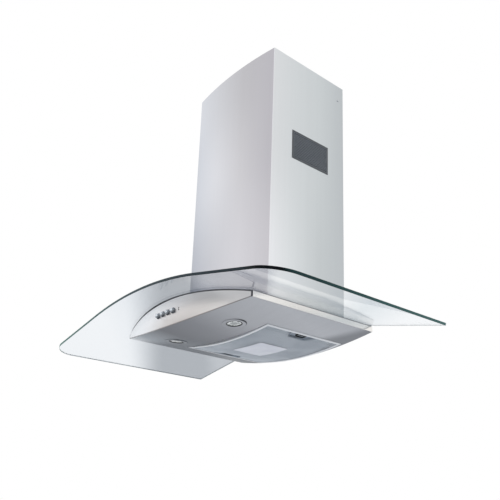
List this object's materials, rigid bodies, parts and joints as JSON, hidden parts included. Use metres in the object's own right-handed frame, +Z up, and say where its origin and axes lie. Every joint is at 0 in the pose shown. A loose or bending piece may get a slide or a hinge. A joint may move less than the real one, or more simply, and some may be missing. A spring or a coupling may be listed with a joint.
{
  "type": "curved glass range hood",
  "caption": "Wall-mounted cooker hood: arched clear glass canopy over a bowed steel body with push buttons, lamps and a grease filter, under a rectangular steel chimney.",
  "frame": {"origin": "middle of the four wall screws, on the wall plane", "axes": "+X to the hood's right for someone facing the wall, +Y into the wall, +Z up"},
  "size_m": [0.9, 0.495, 0.7472],
  "materials": {
    "canopy_glass": "clear tempered glass with a dark green polished edge",
    "black_rubber": "matte black rubber",
    "zinc_steel": "zinc plated steel",
    "stainless_small": "stainless screw",
    "stainless_fascia": "fine brushed stainless steel, brushed along the width",
    "stainless_side": "fine brushed stainless steel",
    "stainless_pan": "satin stainless steel underside",
    "stainless_chimney": "fine brushed stainless steel, brushed across the width",
    "galvanised": "galvanised sheet steel",
    "filter_trim": "bright rolled aluminium frame",
    "filter_mesh": "fine expanded aluminium mesh",
    "latch_tray": "pressed aluminium recess",
    "black_plastic": "matte black plastic",
    "lamp_ring": "satin metal ring",
    "lamp_black": "black lamp holder",
    "lamp_glass": "frosted lamp glass over a bright reflector",
    "button_chrome": "chromed push button",
    "bezel_chrome": "chromed ring",
    "indicator": "dark indicator light, unlit",
    "scroll_plastic": "moulded grey plastic",
    "motor_black": "black painted motor can",
    "shaft_steel": "ground steel shaft",
    "impeller_plastic": "light grey moulded plastic",
    "collar_plastic": "black moulded plastic",
    "flap_plastic": "dark moulded plastic",
    "capacitor_white": "off-white capacitor case",
    "vent_slate": "slate grey plastic grille"
  },
  "bodies": {
    "hood": {"glass_canopy": "canopy_glass", "glass_gasket": "black_rubber", "plate_pad": "black_rubber", "casing_pad": "black_rubber", "glass_bushes": "black_rubber", "mount_bushes": "black_rubber", "clamp_bolts": "zinc_steel", "clamp_nuts": "zinc_steel", "collar_screws": "zinc_steel", "chimney_screws": "stainless_small", "front_fascia": "stainless_fascia", "side_panel_left": "stainless_side", "side_panel_right": "stainless_side", "rear_panel": "galvanised", "top_plate": "galvanised", "bottom_pan": "stainless_pan", "lamp_bezel_left": "lamp_ring", "lamp_bezel_right": "lamp_ring", "lamp_holder_left": "lamp_black", "lamp_holder_right": "lamp_black", "lamp_lens_left": "lamp_glass", "lamp_lens_right": "lamp_glass", "button_bezels": "bezel_chrome", "switch_block": "black_plastic", "indicator_leds": "indicator", "mounting_plate": "galvanised", "blower_casing": "galvanised", "scroll_front": "scroll_plastic", "scroll_rear": "scroll_plastic", "motor_body": "motor_black", "motor_mount": "zinc_steel", "outlet_collar": "collar_plastic", "junction_box": "black_plastic", "junction_lid": "black_plastic", "cord_gland": "black_plastic", "capacitor": "capacitor_white", "chimney_cover": "stainless_chimney", "vent_grille_left": "vent_slate", "vent_grille_right": "vent_slate", "chimney_bracket": "galvanised"},
    "impeller": {"motor_shaft": "shaft_steel", "impeller": "impeller_plastic", "impeller_nut": "zinc_steel"},
    "flap_left": {"flap_left": "flap_plastic"},
    "flap_right": {"flap_right": "flap_plastic"},
    "button_1": {"button_1": "button_chrome"},
    "button_2": {"button_2": "button_chrome"},
    "button_3": {"button_3": "button_chrome"},
    "button_4": {"button_4": "button_chrome"},
    "filter": {"filter_frame": "filter_trim", "filter_mesh_lower": "filter_mesh", "filter_mesh_upper": "filter_mesh", "filter_core": "filter_mesh", "latch_tray_left": "latch_tray", "latch_tray_right": "latch_tray"},
    "latch_left": {"latch_left": "black_plastic"},
    "latch_right": {"latch_right": "black_plastic"}
  },
  "joints": [
    {"name": "impeller_spin", "type": "hinge", "parent": "hood", "child": "impeller", "pos_m": [-0.014, -0.112, -0.008], "axis": [0, -1, 0], "continuous": true},
    {"name": "flap_right_swing", "type": "hinge", "parent": "hood", "child": "flap_right", "pos_m": [0.0485, -0.112, 0.1683], "axis": [0, -1, 0], "range_deg": [0, 75]},
    {"name": "flap_left_swing", "type": "hinge", "parent": "hood", "child": "flap_left", "pos_m": [0.0415, -0.112, 0.1683], "axis": [0, 1, 0], "range_deg": [0, 75]},
    {"name": "button_1_press", "type": "slide", "parent": "hood", "child": "button_1", "axis": [0, 1, 0], "range_m": [0, 0.0025], "stiffness_N_per_m": 500},
    {"name": "button_2_press", "type": "slide", "parent": "hood", "child": "button_2", "axis": [0, 1, 0], "range_m": [0, 0.0025], "stiffness_N_per_m": 500},
    {"name": "button_3_press", "type": "slide", "parent": "hood", "child": "button_3", "axis": [0, 1, 0], "range_m": [0, 0.0025], "stiffness_N_per_m": 500},
    {"name": "button_4_press", "type": "slide", "parent": "hood", "child": "button_4", "axis": [0, 1, 0], "range_m": [0, 0.0025], "stiffness_N_per_m": 500},
    {"name": "filter_drop", "type": "slide", "parent": "hood", "child": "filter", "axis": [0, 0, -1], "range_m": [0, 0.06]},
    {"name": "latch_right_bolt", "type": "slide", "parent": "filter", "child": "latch_right", "axis": [0.9897, 0, 0.143], "range_m": [0, 0.004]},
    {"name": "latch_left_bolt", "type": "slide", "parent": "filter", "child": "latch_left", "axis": [-0.9897, 0, 0.143], "range_m": [0, 0.004]}
  ]
}
